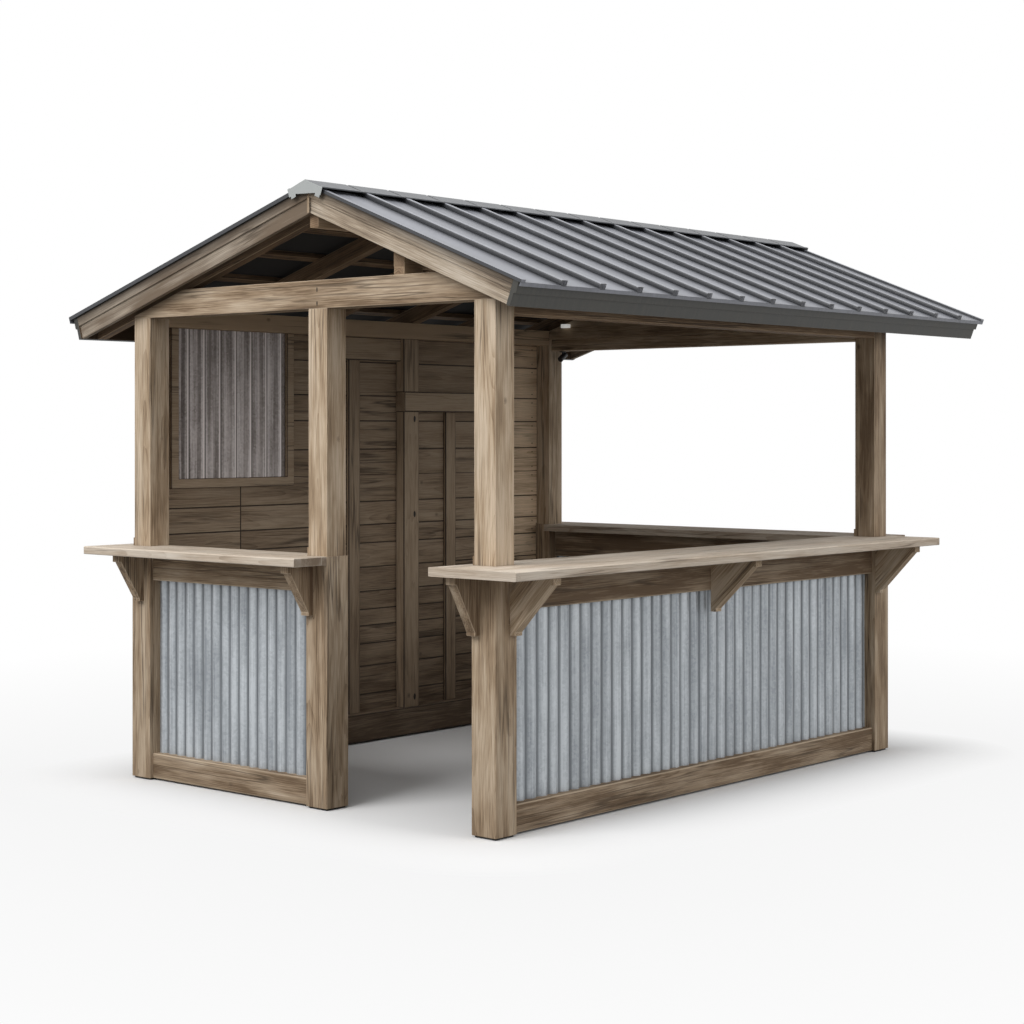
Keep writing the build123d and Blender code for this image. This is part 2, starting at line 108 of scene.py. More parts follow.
grain_slide = 60
upright_share = 0.9
knot_reach = 0.075
knot_swell = 0.02
knot_chance = 0.45
end_facing_share = 0.8
framing_end_mark = 0.40
counter_end_mark = 0.15
board_joints = (
    0.239, 0.384, 0.499, 0.592, 0.676, 0.769, 0.894, 1.019, 1.113, 1.233, 1.368, 1.503, 1.649, 1.779, 1.951)
butt_joint_from_front = 0.637
plank_width = 0.149
end_board = 0.028
# Painted light on the wall, paler towards its far end along Y, and painted shade, darker towards the ground
wall_painted_light = {"start": 0.62, "stop": 1.0, "tone": 0.25, "lift": 1.75}
wall_ground_shade = {"height": 1.15, "tone": 0.50}

# Folded metal
metal_ease = 0.0012
cap_length = 0.2568
# Joint strips of the ridge cap, darkened as painted shade
cap_joint = 0.018
cap_joint_depth = 0.002
cap_end_plate = 0.020
cap_end_rim = 0.004
# Painted highlight before each shutter fold, painted shadow line after it, painted shade on the flanks
hatch_rim = 0.009
hatch_shade = 0.019
hatch_shade_mark = 0.9
hatch_flank_mark = 0.5
hatch_flank_share = 0.2

# Fixings and dead knots
fixing_segments = 10
fixing_rings = 5
nail_from_end = 0.045
nail_from_joint = 0.024
nail_head = {"Width": 0.008, "Height": 0.008, "Depth": 0.0012}
knot_mark = {"Width": 0.017, "Height": 0.034, "Depth": 0.0008}
peg_head = {"Width": 0.007, "Height": 0.022, "Depth": 0.002}
stud_knots = (0.20, 1.16, 1.66)
stud_knot_share = 0.70
peg_from_edge = 0.052
peg_shares = (0.18, 0.66)
apex_strip_width = 0.012
apex_strip_depth = 0.003
apex_strip_ease = 0.001
apex_strip_tone = 0.30
apex_strip_gap = 0.002
apex_low = 2.512

# Galvanised cladding
rib_steps = 14
sheet_rows = 9
wave_pitch = {"front": 0.060, "long": 0.070, "back": 0.070}
wave_depth = 0.016
crest_share = 0.68
sheet_thickness = 0.0015
wave_unevenness = 0.22
wave_wander = (0.9, 0.25)
sheet_dent = 0.004
sheet_dent_scale = (5, 4)
# Painted shade in the cladding's valleys, from this depth down, growing by this gain
valley_start = 0.02
valley_gain = 3.6
sheet_seed_step = 7.3

# Standing seams
pan_width = 0.251
seam_width = 0.026
seam_height = 0.021
rake_fold = {"right": 0.012, "left": 0.016}
seam_fillet = 0.004
pan_thickness = 0.0016
pan_steps = 12
slope_steps = 14
eave_hem = 0.016
end_fold = 0.003
flap_over = (0.006, 0.004)
pan_swell = 0.004
pan_swell_scale = (2.1, 5)
pan_swell_rest = 0.3
# Painted shade at each seam's foot and on the seams' sides, painted highlight on their tops
pan_foot = 0.95
seam_facing_share = 0.6
seam_shine = 0.35
slope_seed_step = 4.7


# Node wiring

class Wire:
    """A node's socket: arithmetic on it adds Math nodes to its tree."""

    def __init__(self, graph, socket):
        self.graph = graph
        self.socket = socket

    def math(self, operation, *terms):
        return self.graph.node("ShaderNodeMath", {"operation": operation}, dict(enumerate(terms)))

    def __add__(self, other):
        return self.math("ADD", self, other)

    __radd__ = __add__

    def __sub__(self, other):
        return self.math("SUBTRACT", self, other)

    def __rsub__(self, other):
        return self.math("SUBTRACT", other, self)

    def __mul__(self, other):
        return self.math("MULTIPLY", self, other)

    __rmul__ = __mul__

    def __truediv__(self, other):
        return self.math("DIVIDE", self, other)

    def __rtruediv__(self, other):
        return self.math("DIVIDE", other, self)

    def __pow__(self, other):
        return self.math("POWER", self, other)

    def __abs__(self):
        return self.math("ABSOLUTE", self)

    def __gt__(self, other):
        return self.math("GREATER_THAN", self, other)

    def __lt__(self, other):
        return self.math("LESS_THAN", self, other)

    def fraction(self):
        return self.math("FRACT", self)

    def sine(self):
        return self.math("SINE", self)

    def positive(self):
        return self.math("MAXIMUM", self, 0)

    def clamped(self):
        return self.math("MINIMUM", self.positive(), 1)


class Graph:
    """A node tree under construction."""

    def __init__(self, tree):
        self.tree = tree
        tree.nodes.clear()

    def node(self, kind, settings=None, sockets=None, out=0):
        """Adds a node, its settings before its sockets' values or links, and gives the output asked for."""
        made = self.tree.nodes.new(kind)
        for name, value in (settings or {}).items():
            if name == "stops":
                self.set_stops(made.color_ramp, value)
            else:
                setattr(made, name, value)
        for key, value in (sockets or {}).items():
            for item in value if isinstance(value, list) else [value]:
                if isinstance(item, Wire):
                    self.tree.links.new(item.socket, made.inputs[key])
                else:
                    made.inputs[key].default_value = item
        if isinstance(out, tuple):
            return [Wire(self, made.outputs[key]) for key in out]
        return Wire(self, made.outputs[out]) if made.outputs else made

    @staticmethod
    def set_stops(ramp, stops):
        while len(ramp.elements) < len(stops):
            ramp.elements.new(1)
        for element, (place, colour) in zip(ramp.elements, stops):
            element.position = place
            element.color = (*colour, 1)

    def vector(self, operation, *terms):
        return self.node("ShaderNodeVectorMath", {"operation": operation}, dict(enumerate(terms)))


class Finish(Graph):
    """A material under construction."""

    def __init__(self, name):
        self.material = bpy.data.materials.new(name)
        self.material.use_nodes = True
        super().__init__(self.material.node_tree)

    def attribute(self, name, out="Fac"):
        return self.node("ShaderNodeAttribute", {"attribute_name": name}, out=out)

    def place(self):
        return self.node("ShaderNodeTexCoord", out="Object")

    def noise(self, vector, scale, detail=2, roughness=0.5):
        """Noise from 0 to 1 with its own scale along each axis, in bumps a metre."""
        stretched = self.vector("MULTIPLY", vector, scale)
        sockets = {"Vector": stretched, "Scale": 1, "Detail": detail, "Roughness": roughness}
        return self.node("ShaderNodeTexNoise", {}, sockets, "Fac")

    def cells(self, vector, scale, out):
        return self.node("ShaderNodeTexVoronoi", {}, {"Vector": vector, "Scale": scale}, out)

    def ramp(self, value, *stops):
        return self.node("ShaderNodeValToRGB", {"stops": stops}, {0: value}, "Color")

    def mix(self, factor, first, second, blend="MIX"):
        settings = {"data_type": "RGBA", "blend_type": blend}
        return self.node("ShaderNodeMix", settings, {0: factor, 6: colour(first), 7: colour(second)}, 2)

    def surface(self, shader, height, bump_strength, bump_depth):
        """Ends the material in one shader, with a bump from a height."""
        bump = {"Strength": bump_strength, "Distance": bump_depth, "Height": height}
        normal = self.node("ShaderNodeBump", {}, bump)
        out = self.node("ShaderNodeBsdfPrincipled", {}, {**shader, "Normal": normal})
        self.node("ShaderNodeOutputMaterial", {}, {"Surface": out})
        return self.material


def colour(value):
    """A colour with its alpha, or a link as it is."""
    return value if isinstance(value, Wire) else (*value, 1)


def tint(red, green, blue):
    """Linear colour of a tint given in display values from 0 to 255."""
    shares = (red / 255, green / 255, blue / 255)
    return tuple(s / 12.92 if s < 0.04045 else ((s + 0.055) / 1.055) ** 2.4 for s in shares)


# Finishes

def timber_finish(
        name, dark, middle, light, silver, silvering, contrast, gap_tint=None, painted_light=None, ground_shade=None):
    """Weathered timber: rings about a wandering heart, mottled fibre, silvered patches, shakes and knots.

    With painted light, timber grows paler between two places along Y, and with painted shade darker towards
    the ground.
    """
    f = Finish(name)
    grain = f.attribute("grain", "Vector")
    edge = f.attribute("edge")
    end = f.attribute("end")
    tone = f.attribute("tone")
    depth, level = f.node("ShaderNodeSeparateXYZ", {}, {0: f.place()}, (1, 2))
    # Painted light paler towards the far end along Y, painted shade darker towards the ground
    if painted_light:
        lit_share = ((depth - painted_light["start"]) / (painted_light["stop"] - painted_light["start"])).clamped()
        tone = tone + lit_share * painted_light["tone"]
    if ground_shade:
        tone = tone - (1 - level / ground_shade["height"]).clamped() * ground_shade["tone"]

    # Growth rings, pushed aside by knots
    x, y = f.node("ShaderNodeSeparateXYZ", {}, {0: grain}, (0, 1))
    sway = f.noise(grain, (0.4, 0.4, 0.8), 1)
    drift = f.noise(grain, (16, 16, 2.2), 2)
    heart_x = x + (sway - 0.5) * heart_sway
    heart_y = y + (drift - 0.5) * heart_drift
    knot_distance, knot_colour = f.cells(
        f.vector("MULTIPLY", grain, (1, 1, 0.7)), 7.5, ("Distance", "Color"))
    knot_pick = f.node("ShaderNodeSeparateColor", {}, {0: knot_colour}, 0)
    knot = (1.35 - knot_distance / knot_reach).clamped() * (knot_pick > knot_chance) * (1 - end)
    radius = (heart_x * heart_x + heart_y * heart_y) ** 0.5 + knot * knot_swell
    ring = (radius / ring_width + drift * 2.2).fraction()
    late_wood = ring ** 3

    # Long marks, from fine fibre to broad patches, and open shakes
    fibre = f.noise(grain, (430, 430, 14), 2, 0.6)
    streak = f.noise(grain, (250, 250, 6), 3, 0.6)
    mottle = f.noise(grain, (44, 44, 1.8), 3, 0.55)
    patch = f.noise(grain, (13, 13, 2.4), 3)
    split = f.noise(grain, (24, 24, 0.9), 2, 0.5)
    split_here = ((f.noise(grain, (6, 6, 1.6), 1) - 0.47) * 8).clamped()
    shake = (1 - abs(split - 0.5) * 26).clamped() * split_here * (1 - end)

    # Colour, dulled on end grain
    figure = (streak - 0.5) * (0.62 * contrast) + (mottle - 0.5) * (0.5 * contrast) + (fibre - 0.5) * 0.5
    figure = figure * (1 - end * 0.75) + (patch - 0.5) * (0.85 * contrast) - late_wood * (0.17 + end * 0.18)
    figure = figure + (tone - 0.5) * 0.62 + 0.545 - end * 0.36
    body = f.ramp(figure, (0.16, dark), (0.50, middle), (0.86, light))
    silvered = ((patch - 0.44) * 3.0 + (mottle - 0.5) * 1.6).clamped() * silvering
    body = f.mix(silvered, body, silver)
    body = f.mix((knot * 0.72).clamped(), body, tuple(0.45 * c for c in dark))
    body = f.mix(shake * 0.70, body, tuple(0.30 * c for c in dark))
    # Painted shade and dirt along the bargeboards' tops
    body = f.mix(f.attribute("soil") * 0.92, body, tuple(0.22 * c for c in dark))
    # Painted light, lifting the colour towards the far end
    if painted_light:
        body = f.mix(lit_share, body, 3 * (painted_light["lift"],), "MULTIPLY")
    # The wall's board joints dark; other rounded arrises paler, as wear and as a painted highlight
    if gap_tint:
        body = f.mix(edge * 0.9, body, gap_tint)
    else:
        body = f.mix((edge * (0.25 + mottle)).clamped() * 0.6, body, light)

    height = fibre * 0.4 - late_wood * 0.2 - shake * 1.8 + knot * 0.3 + streak * 0.5
    shader = {"Base Color": body, "Roughness": 0.66 + 0.26 * mottle, "IOR": 1.45}
    return f.surface(shader, height, bump_strength=0.45, bump_depth=0.003)


def galvanised_finish(name, pale, dull, valley_shade_tint, streaks, speckle):
    """Zinc coating: faint spangle, streaks that run down, painted shade in the valleys, a painted highlight
    along marked rims.
    """
    f = Finish(name)
    place = f.place()
    valley = f.attribute("valley")
    spangle = f.node("ShaderNodeSeparateColor", {}, {0: f.cells(place, 95, "Color")}, 0)
    streak = f.noise(place, (30, 30, 0.9), 3, 0.6)
    fine = f.noise(place, (190, 190, 2.6), 2, 0.6)
    bloom = f.noise(place, (5, 5, 3.2), 4, 0.6)
    speck = f.noise(place, (240, 240, 170), 2, 0.7)
    mixed = (streak - 0.5) * streaks + fine * 0.55 + bloom * 0.75
    mixed = mixed + (spangle - 0.5) * 0.16 + (speck - 0.5) * speckle - 0.16
    body = f.ramp(mixed, (0.22, dull), (0.72, pale))
    # Painted highlight along the shutter's folds
    body = f.mix(f.attribute("rim") * 0.75, body, tuple(min(1, 1.3 * c) for c in pale))
    # Painted shade in the valleys, beside the shutter's folds and on its flanks
    valley_shade = (valley * (0.55 + 0.5 * bloom)).clamped()
    body = f.mix(valley_shade, body, valley_shade_tint)
    roughness = 0.40 + 0.16 * bloom + 0.14 * valley + (spangle - 0.5) * 0.06
    shader = {"Base Color": body, "Metallic": 0.55, "Roughness": roughness}
    height = spangle * 0.15 + speck * 0.4 + streak * 0.6
    return f.surface(shader, height, bump_strength=0.12, bump_depth=0.0015)


def coated_finish(name, dark, light, scuff_and_sheen, roughness, seam_tint, inner_tint):
    """Coated roofing steel: chalky clouding, faint runs down the slope, scuffs, a painted highlight on seam
    tops and rounded edges, seam sides and the pans' feet darkened as painted shade, a plain back.
    """
    f = Finish(name)
    place = f.place()
    cloud = f.noise(place, (3.1, 3.1, 3.1), 4, 0.6)
    run = f.noise(place, (2.2, 46, 2.2), 3, 0.6)
    speck = f.noise(place, (310, 310, 310), 2, 0.7)
    scratch = f.noise(place, (9, 160, 9), 2, 0.5)
    edge = f.attribute("edge")
    mixed = cloud * 0.6 + run * 0.55 + (speck - 0.5) * 0.5 - 0.1
    body = f.ramp(mixed, (0.25, dark), (0.75, light))
    # Real scratches, plus a painted highlight on seam tops and rounded edges
    scuff_and_sheen_mask = ((scratch - 0.66) * 9).clamped() * 0.35 + edge * 0.5
    body = f.mix(scuff_and_sheen_mask.clamped(), body, scuff_and_sheen)
    # Painted shade at the seams' feet and on their sides
    body = f.mix(f.attribute("foot") ** 1.1 * 0.85, body, seam_tint)
    body = f.mix(f.attribute("seam") * 0.88, body, seam_tint)
    inner = f.attribute("inner")
    body = f.mix(inner, body, inner_tint)
    dullness = roughness + 0.14 * cloud + 0.10 * run + 0.55 * inner
    shader = {"Base Color": body, "Roughness": dullness, "Metallic": 0.0, "IOR": 1.5}
    height = cloud * 0.6 + run * 0.3 + speck * 0.25
    return f.surface(shader, height, bump_strength=0.10, bump_depth=0.002)


def plain_finish(name, dark, light, roughness, metallic=0.0, glow=0.0):
    """Moulded or painted small fittings: a fine mottled coat."""
    f = Finish(name)
    place = f.place()
    mottle = f.noise(place, (60, 60, 60), 3)
    speck = f.noise(place, (900, 900, 900), 2)
    body = f.ramp(mottle * 0.7 + speck * 0.3, (0.3, dark), (0.7, light))
    shader = {"Base Color": body, "Roughness": roughness + 0.15 * mottle, "Metallic": metallic}
    shader.update({"Emission Color": body, "Emission Strength": glow})
    return f.surface(shader, speck, bump_strength=0.15, bump_depth=0.0006)


frame_timber = timber_finish(
    "frame_timber", dark=tint(104, 84, 63), middle=tint(160, 138, 112), light=tint(208, 188, 163),
    silver=tint(176, 163, 146), silvering=0.40, contrast=1.2)
bleached_timber = timber_finish(
    "bleached_timber", dark=tint(106, 91, 75), middle=tint(164, 148, 128), light=tint(212, 199, 182),
    silver=tint(182, 173, 160), silvering=0.45, contrast=1.1)
counter_timber = timber_finish(
    "counter_timber", dark=tint(128, 111, 93), middle=tint(176, 160, 142), light=tint(212, 200, 184),
    silver=tint(190, 181, 169), silvering=0.55, contrast=0.75)
wall_timber = timber_finish(
    "wall_timber", dark=tint(88, 71, 54), middle=tint(136, 116, 94), light=tint(176, 155, 130),
    silver=tint(146, 131, 113), silvering=0.35, contrast=0.8, gap_tint=tint(44, 34, 25),
    painted_light=wall_painted_light, ground_shade=wall_ground_shade)
roof_timber = timber_finish(
    "roof_timber", dark=tint(70, 54, 39), middle=tint(124, 100, 75), light=tint(182, 157, 128),
    silver=tint(136, 117, 97), silvering=0.25, contrast=0.8)
galvanised = galvanised_finish(
    "galvanised_sheet", pale=tint(189, 194, 198), dull=tint(141, 146, 151), valley_shade_tint=tint(93, 97, 101),
    streaks=1.05, speckle=0.22)
shutter_metal = galvanised_finish(
    "shutter_sheet", pale=tint(198, 190, 187), dull=tint(120, 112, 107), valley_shade_tint=tint(60, 52, 46),
    streaks=1.5, speckle=0.12)
roof_coating = coated_finish(
    "roof_sheet", dark=tint(100, 102, 108), light=tint(127, 129, 137), scuff_and_sheen=tint(168, 170, 176),
    roughness=0.26, seam_tint=tint(34, 35, 37), inner_tint=tint(34, 33, 32))
fascia_coating = coated_finish(
    "fascia_metal", dark=tint(30, 31, 28), light=tint(62, 60, 54), scuff_and_sheen=tint(94, 90, 81),
    roughness=0.42, seam_tint=tint(36, 36, 36), inner_tint=tint(84, 67, 50))
ridge_coating = coated_finish(
    "ridge_metal", dark=tint(66, 68, 71), light=tint(94, 96, 99), scuff_and_sheen=tint(126, 128, 131),
    roughness=0.32, seam_tint=tint(30, 31, 32), inner_tint=tint(158, 161, 160))
foot_paint = plain_finish("foot_steel", tint(22, 21, 20), tint(38, 36, 34), roughness=0.55, metallic=0.2)
iron = plain_finish("iron_fixings", tint(30, 26, 23), tint(58, 50, 44), roughness=0.6, metallic=0.5)
lamp_white = plain_finish("lamp_white", tint(228, 228, 224), tint(240, 240, 237), roughness=0.35, glow=0.4)
lamp_black = plain_finish("lamp_black", tint(20, 20, 21), tint(34, 34, 36), roughness=0.45)


# Pieces from the solids

def node_mesh(name):
    """Mesh of a solid with its doubles merged and its flat faces whole."""
    bm = bmesh.new()
    bm.from_mesh(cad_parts[name].data)
    bmesh.ops.remove_doubles(bm, verts=bm.verts[:], dist=weld)
    bmesh.ops.dissolve_limit(bm, angle_limit=radians(flat_angle), verts=bm.verts[:], edges=bm.edges[:])
    return bm


def cut(bm, normal, distance, **cleared):
    """Cuts a mesh along a plane square to a direction, at a distance from the origin."""
    everything = bm.verts[:] + bm.edges[:] + bm.faces[:]
    bmesh.ops.bisect_plane(
        bm, geom=everything, dist=saw_width, plane_co=normal * distance, plane_no=normal, **cleared)


def sawn(bm, axis, cuts):
    """Closed pieces of a mesh, sawn square to an axis at each cut."""
    normal = Vector([float(index == axis) for index in range(3)])
    limits = [None, *cuts, None]
    pieces = []
    for low, high in zip(limits, limits[1:]):
        piece = bm.copy()
        for place, side in ((low, "clear_inner"), (high, "clear_outer")):
            if place is not None:
                cut(piece, normal, place, **{side: True})
                open_edges = [edge for edge in piece.edges if edge.is_boundary]
                bmesh.ops.holes_fill(piece, edges=open_edges, sides=0)
        if piece.faces:
            pieces.append(piece)
    return pieces


def joined(pieces):
    """One mesh of several."""
    whole = bmesh.new()
    for piece in pieces:
        mesh = bpy.data.meshes.new("part")
        piece.to_mesh(mesh)
        whole.from_mesh(mesh)
        bpy.data.meshes.remove(mesh)
    return whole


def islands(bm):
    """Groups of vertices that hang together."""
    left = set(bm.verts)
    while left:
        group = {left.pop()}
        reached = list(group)
        while reached:
            vert = reached.pop()
            for link in vert.link_edges:
                other = link.other_vert(vert)
                if other in left:
                    left.discard(other)
                    group.add(other)
                    reached.append(other)
        yield group


def eased(bm, width, sharp=arris_angle, edge_mark=1.0):
    """Rounds the sharp edges of a mesh and marks the rounded faces: most finishes paint them paler, as worn
    arrises with a painted highlight, and the wall's paints them dark, as board joints.
    """
    layer = bm.faces.layers.float.new("edge")
    edges = [e for e in bm.edges if len(e.link_faces) == 2 and e.calc_face_angle(0) > radians(sharp)]
    made = bmesh.ops.bevel(
        bm, geom=edges, offset=width, offset_type="OFFSET", segments=2, profile=0.5, affect="EDGES",
        clamp_overlap=True)
    for face in made["faces"]:
        face[layer] = edge_mark


def long_way(edges):
    """Direction of the longest of some edges, the same in each run."""
    spans = [(round(edge.calc_length(), 5), edge.verts[1].co - edge.verts[0].co) for edge in edges]
    along = max(spans, key=lambda span: (span[0], *[round(abs(c), 4) for c in span[1]]))[1].normalized()
    return along if max(along, key=abs) > 0 else -along


def add_grain(bm, seed, tone, end_mark=1.0):
    """Gives every timber a grain along its longest edge, from a heart near it, a tone and its end grain."""
    rng = random.Random(seed)
    grain = bm.loops.layers.float_vector.new("grain")
    tone_layer = bm.verts.layers.float.new("tone")
    end_layer = bm.faces.layers.float.new("end")
    groups = sorted(islands(bm), key=lambda group: tuple(round(c, 4) for c in min(v.co[:] for v in group)))
    for group in groups:
        along = long_way({edge for vert in group for edge in vert.link_edges})
        helper = Vector((0, 0, 1)) if abs(along.z) < upright_share else Vector((1, 0, 0))
        across = along.cross(helper).normalized()
        up = across.cross(along)
        middle = sum((v.co for v in group), Vector()) / len(group)
        off_heart = [rng.uniform(-heart_offset, heart_offset) for _ in range(2)]
        heart = Vector((*off_heart, rng.uniform(0, grain_slide)))
        shade = tone + rng.uniform(-tone_spread, tone_spread)
        for vert in group:
            vert[tone_layer] = shade
        for face in {face for vert in group for face in vert.link_faces}:
            face[end_layer] = end_mark * float(abs(face.normal.dot(along)) > end_facing_share)
            for loop in face.loops:
                local = loop.vert.co - middle
                loop[grain] = Vector([local.dot(axis) for axis in (across, up, along)]) + heart


def smooth(mesh, sharp=smooth_angle):
    """Shades a mesh smooth across its gentle edges."""
    mesh.shade_smooth()
    mesh.set_sharp_from_angle(angle=radians(sharp))


def new_piece(name, bm_or_mesh, finish, nodes, slot):
    """A finished piece that stands for its solids."""
    mesh = bm_or_mesh
    if isinstance(mesh, bmesh.types.BMesh):
        mesh = bpy.data.meshes.new(name)
        bm_or_mesh.to_mesh(mesh)
        bm_or_mesh.free()
    mesh.materials.clear()
    mesh.materials.append(finish)
    piece = bpy.data.objects.new(name, mesh)
    bpy.context.scene.collection.objects.link(piece)
    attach(piece, "root")
    if nodes:
        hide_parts(*nodes)
    return piece


def timber_piece(node, finish, slot, width=arris, pieces=None, end_mark=1.0):
    """A timber, or a set of them, with eased edges and its own grain."""
    bm = joined(pieces) if pieces else node_mesh(node)
    eased(bm, width, edge_mark=0.0 if node == "post_casings" else 1.0)
    add_grain(bm, node, tones.get(node, plain_tone), end_mark)
    new_piece(f"{node}_timber", bm, finish, [node], slot)


def build_frame():
    """Posts with their casings, rails, aprons, brackets and beams, then the bargeboards."""
    for node in (
        "post_front_left", "post_door", "post_front_right", "post_back_right", "post_back_left",
        "post_casings", "front_bottom_rail", "long_bottom_rail", "back_bottom_rail", "front_apron",
        "long_apron", "back_apron", "front_brackets", "long_brackets", "back_brackets",
        "front_tie_beam", "back_tie_beam", "back_lintel",
    ):
        timber_piece(node, frame_timber, "frame_timber")
    for node in ("front_left_barge", "front_right_barge", "back_left_barge", "back_right_barge"):
        build_barge(node)


def build_barge(node):
    """A bargeboard, darkened along its top under the roof's edge by painted shade and dirt."""
    bm = node_mesh(node)
    lift = long_way(bm.edges).cross(Vector((0, 1, 0))).normalized()
    top = max(vert.co.dot(lift) for vert in bm.verts)
    cut(bm, lift, top - shade_and_dirt_band)
    eased(bm, arris, edge_mark=0.0)
    # Painted shade and dirt, darkest at the top of the board
    soil = bm.verts.layers.float.new("soil")
    for vert in bm.verts:
        vert[soil] = max(0, 1 - (top - vert.co.dot(lift)) / shade_and_dirt_band)
    add_grain(bm, node, tones[node])
    new_piece(f"{node}_timber", bm, bleached_timber, [node], "frame_timber")


def build_roof_timbers():
    """Plates, ridge beam, purlin, rafters and battens under the covering."""
    for node in (
        "left_top_plate", "right_top_plate", "ridge_beam", "purlin", "purlin_struts", "left_rafters",
        "right_rafters", "left_roof_battens", "right_roof_battens",
    ):
        timber_piece(node, roof_timber, "roof_timber")


def build_counters():
    """Counters of planks that run along them; the long one's stop at a board across each end."""
    for node, axis in (("front_counter", 1), ("long_counter", 0), ("back_counter", 1)):
        low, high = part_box(node)
        planks = max(2, round((high[axis] - low[axis]) / plank_width))
        step = (high[axis] - low[axis]) / planks
        cuts = [low[axis] + step * index for index in range(1, planks)]
        if node == "long_counter":
            first, middle, last = sawn(node_mesh(node), 1, [low.y + end_board, high.y - end_board])
            boards = [first, *sawn(middle, axis, cuts), last]
            timber_piece(node, counter_timber, "counter_timber", arris, boards, counter_end_mark)
        else:
            timber_piece(node, counter_timber, "counter_timber", arris, sawn(node_mesh(node), axis, cuts))


def wall_joints():
    """Heights of the joints between the wall's boards, the one nearest the shutter's sill moved onto it."""
    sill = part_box("hatch_sheet")[0].z
    nearest = min(board_joints, key=lambda height: abs(height - sill))
    return [sill if height == nearest else height for height in board_joints]


def build_wall():
    """Boards butted below the shutter, with the framing that shows inside."""
    hatch_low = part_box("hatch_sheet")[0]
    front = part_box("post_casings")[0].y
    boards = []
    for row in sawn(node_mesh("wall_boarding"), 2, wall_joints()):
        top = max(v.co.z for v in row.verts)
        joint = [front + butt_joint_from_front] if top < hatch_low.z + arris else []
        boards += sawn(row, 1, joint)
    timber_piece("wall_boarding", wall_timber, "wall_timber", board_arris, boards)
    for node in ("wall_sole_plate", "wall_stud", "wall_battens", "wall_headers", "hatch_trim"):
        timber_piece(node, wall_timber, "wall_timber", end_mark=framing_end_mark)


def build_fascias():
    """Eave fascias, dark outside and brown on the face towards the ridge."""
    for node, towards_ridge in (("left_fascia", 1), ("right_fascia", -1)):
        bm = node_mesh(node)
        eased(bm, metal_ease, fold_angle)
        inner = bm.faces.layers.float.new("inner")
        for face in bm.faces:
            face[inner] = float(face.normal.x * towards_ridge > facing_share)
        new_piece(f"{node}_folded", bm, fascia_coating, [node], "fascia_metal")


def build_hatch():
    """Ribbed shutter sheet, with a painted highlight along each fold, a painted shadow line beside it, and
    painted shade on the flanks facing -Y.
    """
    bm = node_mesh("hatch_sheet")
    crest = max(vert.co.x for vert in bm.verts)
    tops = [face for face in bm.faces if face.calc_center_median().x > crest - flush]
    folds = [max(vert.co.y for vert in face.verts) for face in tops]
    for fold in folds:
        for step in (-hatch_rim, hatch_shade):
            cut(bm, Vector((0, 1, 0)), fold + step)
    eased(bm, metal_ease, fold_angle)
    valley = bm.faces.layers.float.new("valley")
    rim = bm.faces.layers.float.new("rim")
    # Painted highlight on the crest beside each fold, painted shadow line after it, painted shade on flanks
    # facing -Y
    for face in bm.faces:
        middle = face.calc_center_median()
        on_crest = middle.x > crest - flush
        face[rim] = float(on_crest and any(0 < fold - middle.y < hatch_rim for fold in folds))
        shaded = any(0 < middle.y - fold < hatch_shade for fold in folds)
        flank = hatch_flank_mark * float(face.normal.y < -hatch_flank_share)
        face[valley] = hatch_shade_mark if shaded else flank
    new_piece("hatch_sheet_folded", bm, shutter_metal, ["hatch_sheet"], "shutter_sheet")


def build_ridge_cap():
    """Ridge cap in lengths, with a lowered strip at each joint, darkened as painted shade, and a dark rim
    round its end plates.
    """
    low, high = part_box("ridge_cap")
    count = round((high.y - low.y) / cap_length)
    joints = [low.y + (high.y - low.y) * index / count for index in range(1, count)]
    cuts = [y + side * cap_joint / 2 for y in joints for side in (-1, 1)]
    lengths = sawn(node_mesh("ridge_cap"), 1, cuts)
    for strip in lengths[1::2]:
        bmesh.ops.translate(strip, verts=strip.verts[:], vec=(0, 0, -cap_joint_depth))
    bm = joined(lengths)
    eased(bm, metal_ease)
    inner = bm.faces.layers.float.new("inner")
    seam = bm.faces.layers.float.new("seam")
    for face in bm.faces:
        middle = face.calc_center_median()
        from_end = min(middle.y - low.y, high.y - middle.y)
        is_plate = abs(face.normal.y) > facing_share and from_end < cap_end_plate
        # Joint strips darkened as painted shade
        in_joint = min(abs(middle.y - y) for y in joints) < cap_joint / 2 + flush
        face[inner] = float(is_plate)
        face[seam] = float(in_joint or (from_end < cap_end_rim and not is_plate))
    new_piece("ridge_cap_lengths", bm, ridge_coating, ["ridge_cap"], "ridge_metal")


# Sheets and fixings grown by geometry trees

